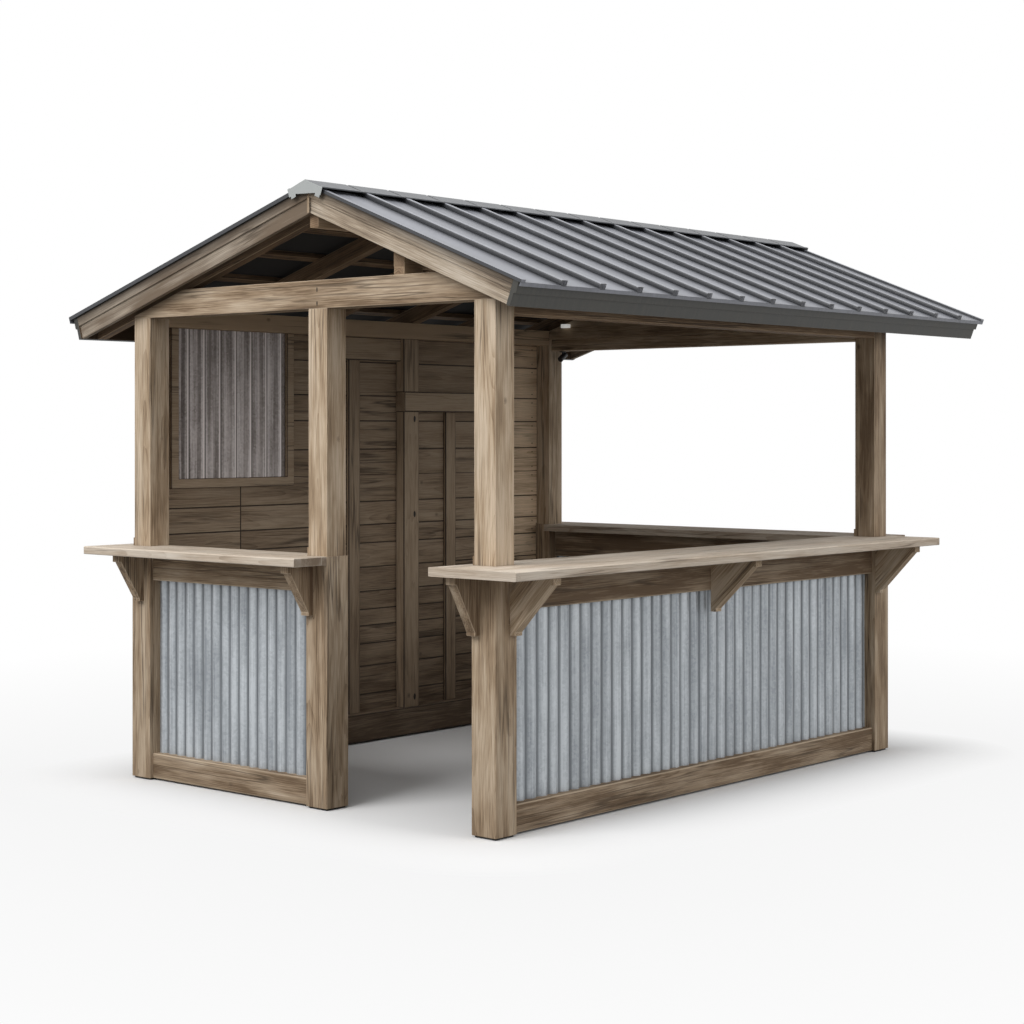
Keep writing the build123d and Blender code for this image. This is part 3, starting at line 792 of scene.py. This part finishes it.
class Shape(Graph):
    """A geometry tree with named sizes, baked to a plain mesh."""

    kinds = {float: "NodeSocketFloat", int: "NodeSocketInt", Vector: "NodeSocketVector"}

    def __init__(self, name, sizes):
        super().__init__(bpy.data.node_groups.new(name, "GeometryNodeTree"))
        panel = self.tree.interface
        panel.new_socket(name="Geometry", in_out="INPUT", socket_type="NodeSocketGeometry")
        self.keys = {}
        for label, kind in sizes.items():
            made = panel.new_socket(name=label, in_out="INPUT", socket_type=self.kinds[kind])
            self.keys[label] = made.identifier
        panel.new_socket(name="Geometry", in_out="OUTPUT", socket_type="NodeSocketGeometry")
        self.entry = self.tree.nodes.new("NodeGroupInput")

    def size(self, label):
        return Wire(self, self.entry.outputs[label])

    def marked(self, geometry, name, value=1.0, domain="FACE"):
        """The geometry with an attribute, 1 all over unless a value is given."""
        settings = {"data_type": "FLOAT", "domain": domain}
        sockets = {"Geometry": geometry, "Name": name, "Value": value}
        return self.node("GeometryNodeStoreNamedAttribute", settings, sockets)

    def point(self, x=0.0, y=0.0, z=0.0):
        """A vector of values or links."""
        return self.node("ShaderNodeCombineXYZ", {}, {0: x, 1: y, 2: z})

    def place(self):
        """The three coordinates of each vertex."""
        place = self.node("GeometryNodeInputPosition")
        return self.node("ShaderNodeSeparateXYZ", {}, {0: place}, (0, 1, 2))

    def waver(self, at, detail):
        """Noise from 0 to 1 at a vector."""
        return self.node("ShaderNodeTexNoise", {}, {"Vector": at, "Scale": 1, "Detail": detail}, "Fac")

    def joined(self, *parts):
        return self.node("GeometryNodeJoinGeometry", {}, {0: list(parts)})

    def moved(self, geometry, to):
        return self.node("GeometryNodeTransform", {}, {"Geometry": geometry, "Translation": to})

    def row(self, count, first, step, instance):
        """Copies of a shape in a row."""
        settings = {"mode": "OFFSET", "count_mode": "TOTAL"}
        sockets = {"Count": count, "Start Location": first, "Offset": step}
        points = self.node("GeometryNodeMeshLine", settings, sockets)
        return self.node("GeometryNodeInstanceOnPoints", {}, {"Points": points, "Instance": instance})

    def facing(self, axis):
        """How far each face turns along an axis, from -1 to 1."""
        normal = self.node("GeometryNodeInputNormal")
        return self.node("ShaderNodeSeparateXYZ", {}, {0: normal}, axis)

    def close(self, geometry, finish):
        """Ends the tree: instances made real, one finish set."""
        real = self.node("GeometryNodeRealizeInstances", {}, {0: geometry})
        painted = self.node("GeometryNodeSetMaterial", {}, {"Geometry": real, "Material": finish})
        self.node("NodeGroupOutput", {}, {0: painted})

    def bake(self, name, values, points=()):
        """Plain mesh of the tree's result for these sizes, grown from points where it has any."""
        mesh = bpy.data.meshes.new(f"{name}_seed")
        mesh.from_pydata([tuple(point) for point in points], [], [])
        carrier = bpy.data.objects.new(f"{name}_carrier", mesh)
        bpy.context.scene.collection.objects.link(carrier)
        modifier = carrier.modifiers.new("shape", "NODES")
        modifier.node_group = self.tree
        for label, value in values.items():
            modifier[self.keys[label]] = value
        bpy.context.view_layer.update()
        evaluated = carrier.evaluated_get(bpy.context.evaluated_depsgraph_get())
        result = bpy.data.meshes.new_from_object(evaluated)
        result.name = name
        bpy.data.objects.remove(carrier)
        bpy.data.meshes.remove(mesh)
        return result


def corrugated_shape(finish):
    """Sheet of broad crests and narrow valleys, slightly uneven, upright along X with its crests to -Y."""
    sizes = {"Width": float, "Height": float, "Waves": int, "Depth": float, "Crest Share": float,
             "Thickness": float, "Unevenness": float, "Seed": float}
    shape = Shape("corrugated_sheet", sizes)
    width, height, waves = shape.size("Width"), shape.size("Height"), shape.size("Waves")
    depth, crest, seed = shape.size("Depth"), shape.size("Crest Share"), shape.size("Seed")
    across = waves * rib_steps + 1
    grid = shape.node("GeometryNodeMeshGrid", {}, {
        "Size X": width, "Size Y": height, "Vertices X": across, "Vertices Y": sheet_rows})
    x, y, _ = shape.place()
    run = (x / width + 0.5) * waves
    wander = shape.waver(shape.point(run * wave_wander[0] + seed, y * wave_wander[1]), 1)
    phase = (run + (wander - 0.5) * shape.size("Unevenness")).fraction()
    on_crest = phase < crest
    crest_rise = (phase * pi / crest).sine() * crest
    valley_rise = ((phase - crest) * pi / (1 - crest)).sine() * (crest - 1)
    profile = on_crest * crest_rise + (1 - on_crest) * valley_rise
    dent = shape.waver(shape.point(x * sheet_dent_scale[0] + seed, y * sheet_dent_scale[1]), 2)
    out = profile * depth + (dent - 0.5) * sheet_dent
    place = shape.point(x, -1 * out, y)
    sheet = shape.node("GeometryNodeSetPosition", {}, {"Geometry": grid, "Position": place})
    # Painted shade in the valleys
    low = ((valley_start - profile) * valley_gain).clamped()
    sheet = shape.marked(sheet, "valley", low, "POINT")
    back = shape.node("GeometryNodeExtrudeMesh", {}, {
        "Mesh": sheet, "Offset Scale": shape.size("Thickness"), "Individual": False})
    whole = shape.joined(back, shape.node("GeometryNodeFlipFaces", {}, {0: sheet}))
    whole = shape.node("GeometryNodeMergeByDistance", {}, {"Geometry": whole, "Distance": weld})
    shape.close(whole, finish)
    return shape


def build_cladding():
    """A corrugated sheet in each bay, its crests at the outer face of the solid one."""
    shape = corrugated_shape(galvanised)
    turns = {"front": 0, "long": 90, "back": 180}
    for seed, (bay, turn) in enumerate(turns.items()):
        node = f"{bay}_cladding"
        low, high = (Vector(corner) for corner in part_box(node))
        middle = (low + high) / 2
        width = high.y - low.y if bay == "long" else high.x - low.x
        mesh = shape.bake(f"{node}_sheet", {
            "Width": width, "Height": high.z - low.z, "Waves": round(width / wave_pitch[bay]),
            "Depth": wave_depth, "Crest Share": crest_share, "Thickness": sheet_thickness,
            "Unevenness": wave_unevenness, "Seed": sheet_seed_step * seed})
        crest = crest_share * wave_depth + sheet_thickness
        spot = {"front": (middle.x, low.y + crest), "long": (high.x - crest, middle.y),
                "back": (middle.x, high.y - crest)}[bay]
        mesh.transform(Matrix.Translation((*spot, middle.z)) @ Matrix.Rotation(radians(turn), 4, "Z"))
        smooth(mesh)
        new_piece(f"{node}_sheet", mesh, galvanised, [node], "galvanised_sheet")


def seam_shape(finish):
    """Standing-seam covering, X down the slope and Y along the ridge: trays with closed seams between."""
    sizes = {"Run": float, "Width": float, "Pans": int, "Seam Width": float, "Seam Height": float,
             "Rake Fold": float, "Fillet": float, "Thickness": float, "Hem": float, "Fold": float,
             "Seed": float}
    shape = Shape("standing_seam_roof", sizes)
    run, width, pans = shape.size("Run"), shape.size("Width"), shape.size("Pans")
    seam_wide, seam_high = shape.size("Seam Width"), shape.size("Seam Height")
    thick, hem, fold = shape.size("Thickness"), shape.size("Hem"), shape.size("Fold")

    grid = shape.node("GeometryNodeMeshGrid", {}, {
        "Size X": run, "Size Y": width, "Vertices X": slope_steps, "Vertices Y": pans * pan_steps + 1})
    x, y, _ = shape.place()
    pan_place = ((y / width + 0.5) * pans).fraction()
    free = (pan_place * pi).sine()
    wave_place = shape.point(x * pan_swell_scale[0] + shape.size("Seed"), y * pan_swell_scale[1])
    wave = shape.waver(wave_place, 1)
    place = shape.point(x + run / 2, y, free * (wave - pan_swell_rest) * pan_swell)
    pan = shape.node("GeometryNodeSetPosition", {}, {"Geometry": grid, "Position": place})
    # Painted shade on the pan near each seam's foot
    pan = shape.marked(pan, "foot", (1 - free / pan_foot).clamped(), "POINT")
    top = shape.node("GeometryNodeExtrudeMesh", {}, {
        "Mesh": pan, "Offset Scale": thick, "Individual": False})
    back = shape.marked(shape.node("GeometryNodeFlipFaces", {}, {0: pan}), "inner")

    line = shape.node("GeometryNodeCurvePrimitiveLine", {}, {"End": shape.point(run)})
    box = shape.node("GeometryNodeCurvePrimitiveQuadrilateral", {"mode": "RECTANGLE"}, {
        "Width": seam_wide, "Height": seam_high})
    rounded = shape.node("GeometryNodeFilletCurve", {"mode": "POLY"}, {
        "Curve": box, "Count": 2, "Radius": shape.size("Fillet")})
    seam = shape.node("GeometryNodeCurveToMesh", {}, {
        "Curve": line, "Profile Curve": rounded, "Fill Caps": True})
    flap_size = shape.point(fold, seam_wide + flap_over[0], seam_high + flap_over[1])
    flap = shape.node("GeometryNodeMeshCube", {}, {"Size": flap_size}, "Mesh")
    flap = shape.moved(flap, shape.point(run - fold / 2))
    # Painted shade on the seams' sides and end flaps, painted highlight on their tops
    seam = shape.marked(seam, "seam", abs(shape.facing(1)) > seam_facing_share)
    seam = shape.marked(seam, "edge", (shape.facing(2) > seam_facing_share) * seam_shine)
    upstand = shape.joined(seam, shape.marked(flap, "seam"))
    pitch = (width - seam_wide) / pans
    first = shape.point(0.0, pitch - (width - seam_wide) / 2, seam_high / 2 + thick / 2)
    seams = shape.row(pans - 1, first, shape.point(0.0, pitch), upstand)

    rake = shape.size("Rake Fold")
    low_box = shape.node("GeometryNodeCurvePrimitiveQuadrilateral", {"mode": "RECTANGLE"}, {
        "Width": seam_wide, "Height": rake})
    low_seam = shape.node("GeometryNodeCurveToMesh", {}, {
        "Curve": line, "Profile Curve": low_box, "Fill Caps": True})
    # Painted shade on the rake folds' sides
    low_seam = shape.marked(low_seam, "seam", abs(shape.facing(1)) > seam_facing_share)
    rake_first = shape.point(0.0, (seam_wide - width) / 2, rake / 2 + thick / 2)
    rakes = shape.row(2, rake_first, shape.point(0.0, width - seam_wide), low_seam)

    drip = shape.node("GeometryNodeMeshCube", {}, {"Size": shape.point(fold, width, hem)}, "Mesh")
    drip = shape.moved(drip, shape.point(run - fold / 2, 0.0, thick - hem / 2))
    shape.close(shape.joined(top, back, seams, rakes, drip), finish)
    return shape


def build_covering():
    """Both roof slopes, laid where the solid sheets lie."""
    shape = seam_shape(roof_coating)
    for seed, side in enumerate(("right", "left")):
        node = f"{side}_roof_sheet"
        bm = node_mesh(node)
        longest = max(bm.edges, key=lambda edge: round(edge.calc_length(), 5))
        high, low = sorted((vert.co for vert in longest.verts), key=lambda place: -place.z)
        down = (low - high).normalized()
        along = Vector((0, 1 if side == "right" else -1, 0))
        lift = down.cross(along)
        base = min(vert.co.dot(lift) for vert in bm.verts)
        start = min(vert.co.dot(down) for vert in bm.verts)
        run = max(vert.co.dot(down) for vert in bm.verts) - start
        front, back = min(vert.co.y for vert in bm.verts), max(vert.co.y for vert in bm.verts)
        bm.free()
        width = back - front
        mesh = shape.bake(f"{node}_pans", {
            "Run": run, "Width": width, "Pans": round(width / pan_width), "Seam Width": seam_width,
            "Seam Height": seam_height, "Rake Fold": rake_fold[side], "Fillet": seam_fillet,
            "Thickness": pan_thickness, "Hem": eave_hem, "Fold": end_fold, "Seed": slope_seed_step * seed})
        turn = Matrix((down, along, lift)).transposed().to_4x4()
        origin = down * start + lift * base + Vector((0, (front + back) / 2, 0))
        mesh.transform(Matrix.Translation(origin) @ turn)
        smooth(mesh)
        new_piece(f"{node}_pans", mesh, roof_coating, [node], "roof_sheet")


def fixing_shape(finish):
    """Low domed heads, one at each point, turned to face the way asked for."""
    sizes = {"Width": float, "Height": float, "Depth": float, "Turn": Vector}
    shape = Shape("fixing_heads", sizes)
    points = Wire(shape, shape.entry.outputs[0])
    dome = shape.node("GeometryNodeMeshUVSphere", {}, {
        "Segments": fixing_segments, "Rings": fixing_rings, "Radius": 1}, "Mesh")
    scale = shape.point(shape.size("Width") / 2, shape.size("Depth"), shape.size("Height") / 2)
    heads = shape.node("GeometryNodeInstanceOnPoints", {}, {
        "Points": points, "Instance": dome, "Rotation": shape.size("Turn"), "Scale": scale})
    shape.close(heads, finish)
    return shape


def build_fixings():
    """Nail heads where boards cross the posts and the stud, the stud's dead knots, the tie beam's pegs."""
    shape = fixing_shape(iron)
    low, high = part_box("wall_boarding")
    stud_low, stud_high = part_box("wall_stud")
    hatch_low, hatch_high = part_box("hatch_trim")
    stud_y = (stud_low.y + stud_high.y) / 2
    lines = [low.y + nail_from_end, stud_y, high.y - nail_from_end]
    levels = [low.z, *wall_joints(), high.z]
    heights = [z for a, b in zip(levels, levels[1:]) for z in (a + nail_from_joint, b - nail_from_joint)]
    outer = [(low.x, y, z) for y in lines for z in heights if not (y < hatch_high.y and z > hatch_low.z)]
    inner = [(high.x, y, z) for _, y, z in outer if y != stud_y]
    knot_y = stud_low.y + (stud_high.y - stud_low.y) * stud_knot_share
    knots = [(stud_high.x, knot_y, z) for z in stud_knots]
    beam_low, beam_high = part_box("front_tie_beam")
    peg_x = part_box("post_door")[0].x + peg_from_edge
    pegs = [(peg_x, beam_low.y, beam_low.z + (beam_high.z - beam_low.z) * share) for share in peg_shares]
    across_wall = Vector((0, 0, pi / 2))
    for name, head, turn, points in (
        ("wall_nail_heads", nail_head, across_wall, outer + inner),
        ("stud_dead_knots", knot_mark, across_wall, knots),
        ("tie_beam_pegs", peg_head, Vector(), pegs),
    ):
        heads = shape.bake(name, {**head, "Turn": turn}, points)
        smooth(heads, head_angle)
        new_piece(name, heads, iron, [], "foot_steel")


def build_apex_strip():
    """Narrow cover strip over the joint of the two front bargeboards."""
    low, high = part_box("front_left_barge")
    bm = bmesh.new()
    bmesh.ops.create_cube(bm, size=1)
    size = Vector((apex_strip_width, apex_strip_depth, high.z - apex_low - 2 * apex_strip_gap))
    middle = Vector((high.x, low.y - apex_strip_depth / 2, (high.z + apex_low) / 2 - apex_strip_gap))
    for vert in bm.verts:
        vert.co = Vector([c * s for c, s in zip(vert.co, size)]) + middle
    eased(bm, apex_strip_ease)
    add_grain(bm, "apex_strip", apex_strip_tone)
    new_piece("apex_cover_strip", bm, frame_timber, [], "frame_timber")


def build_fittings():
    """Pads under the posts and the two lamps at the back."""
    for node, finish, slot in (
        ("post_feet", foot_paint, "foot_steel"), ("puck_light", lamp_white, "lamp_white"),
        ("spotlight", lamp_black, "lamp_black"),
    ):
        bm = node_mesh(node)
        eased(bm, metal_ease)
        piece = new_piece(f"{node}_finished", bm, finish, [node], slot)
        smooth(piece.data)


def main():
    build_frame()
    build_roof_timbers()
    build_counters()
    build_wall()
    build_fascias()
    build_hatch()
    build_ridge_cap()
    build_cladding()
    build_covering()
    build_fixings()
    build_apex_strip()
    build_fittings()


# Stage

def build_camera(scene):
    """Level camera with a shifted lens, and the Standard view transform."""
    camera = bpy.data.cameras.new("camera")
    camera.lens = camera_lens
    camera.sensor_width = camera_sensor
    camera.shift_y = camera_shift
    eye = bpy.data.objects.new("camera", camera)
    eye.location = camera_place
    eye.rotation_euler = (radians(90), 0, radians(camera_yaw))
    scene.collection.objects.link(eye)
    scene.camera = eye
    scene.view_settings.view_transform = "Standard"


def build_world(scene):
    """Soft light from all round, white where it is seen straight, mirrored or through glass."""
    world = bpy.data.worlds.new("studio")
    world.use_nodes = True
    scene.world = world
    g = Graph(world.node_tree)
    camera_ray, glossy_ray, clear_ray = g.node(
        "ShaderNodeLightPath", {}, {}, ("Is Camera Ray", "Is Glossy Ray", "Is Transmission Ray"))
    seen = (camera_ray + glossy_ray + clear_ray).clamped()
    strength = seen + (1 - seen) * world_light
    light = g.node("ShaderNodeBackground", {}, {"Color": (1, 1, 1, 1), "Strength": strength})
    g.node("ShaderNodeOutputWorld", {}, {"Surface": light})


def build_floor(scene):
    """Pale floor that keeps the shadow near the building and fades to white away from it."""
    f = Finish("studio_floor")
    camera_ray, glossy_ray = f.node("ShaderNodeLightPath", {}, {}, ("Is Camera Ray", "Is Glossy Ray"))
    x, y, _ = f.node("ShaderNodeSeparateXYZ", {}, {0: f.place()}, (0, 1, 2))
    out_x = (abs(x - floor_middle[0]) - floor_half_width).positive()
    out_y = (abs(y - floor_middle[1]) - floor_half_length).positive()
    distance = (out_x * out_x + out_y * out_y) ** 0.5
    away = (distance - floor_fade_from) / (floor_fade_to - floor_fade_from)
    beyond = ((distance - floor_fade_to) / (floor_far - floor_fade_to)).clamped()
    glow = floor_near + (1 - floor_near) * beyond
    pale = f.node("ShaderNodeBsdfDiffuse", {}, {"Color": (*3 * [floor_pale], 1)})
    white = f.node("ShaderNodeEmission", {}, {"Color": (1, 1, 1, 1), "Strength": glow})
    lit = f.node("ShaderNodeMixShader", {}, {0: away.clamped(), 1: pale, 2: white})
    dim = f.node("ShaderNodeBsdfDiffuse", {}, {"Color": (*3 * [floor_bounce], 1)})
    seen = (camera_ray + glossy_ray).clamped()
    surface = f.node("ShaderNodeMixShader", {}, {0: seen, 1: dim, 2: lit})
    f.node("ShaderNodeOutputMaterial", {}, {"Surface": surface})
    mesh = bpy.data.meshes.new("studio_floor")
    corners = [(x * floor_reach, y * floor_reach, 0) for x, y in ((-1, -1), (1, -1), (1, 1), (-1, 1))]
    mesh.from_pydata(corners, [], [(0, 1, 2, 3)])
    mesh.materials.append(f.material)
    floor = bpy.data.objects.new("studio_floor", mesh)
    scene.collection.objects.link(floor)


def build_lamps(scene):
    """Square softboxes, all aimed at the bar."""
    for name, box in softboxes.items():
        lamp = bpy.data.lights.new(name, "AREA")
        lamp.shape = "SQUARE"
        lamp.size = box["size"]
        lamp.energy = box["power"]
        holder = bpy.data.objects.new(name, lamp)
        holder.location = box["place"]
        aim = Vector(lamp_aim) - Vector(box["place"])
        holder.rotation_euler = aim.to_track_quat("-Z", "Y").to_euler()
        scene.collection.objects.link(holder)


def build_stage():
    scene = bpy.context.scene
    build_camera(scene)
    build_world(scene)
    build_floor(scene)
    build_lamps(scene)


main()
build_stage()
